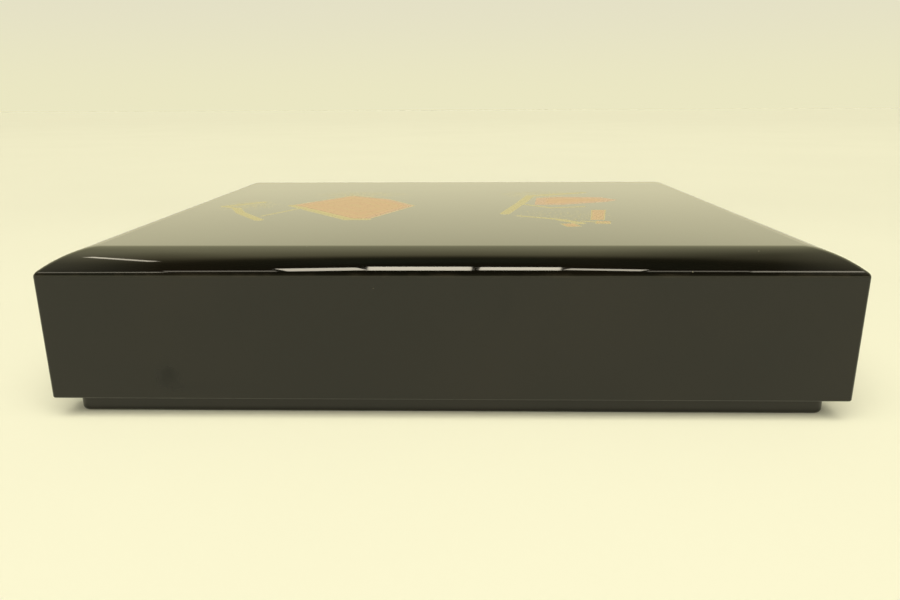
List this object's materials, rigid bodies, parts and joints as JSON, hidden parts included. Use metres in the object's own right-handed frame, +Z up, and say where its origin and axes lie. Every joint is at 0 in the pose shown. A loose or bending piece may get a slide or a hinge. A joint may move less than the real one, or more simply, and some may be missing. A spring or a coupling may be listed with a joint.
{
  "type": "lacquer document box",
  "caption": "Low black lacquer box with a covering lid that lifts off, for papers and letters; rounded shoulders and a small painted design on the top.",
  "frame": {"origin": "centre of the underside, on the surface that the box stands on", "axes": "+X along the long side, +Y from the front to the back, +Z up"},
  "size_m": [0.33, 0.278, 0.07],
  "materials": {
    "lid_lacquer": "polished black lacquer over wood, with a small gold and red painted design on the top",
    "body_lacquer": "black lacquer over wood, a little softer in gloss"
  },
  "bodies": {
    "root": {"box_lid": "lid_lacquer", "box_body": "body_lacquer"}
  },
  "joints": []
}
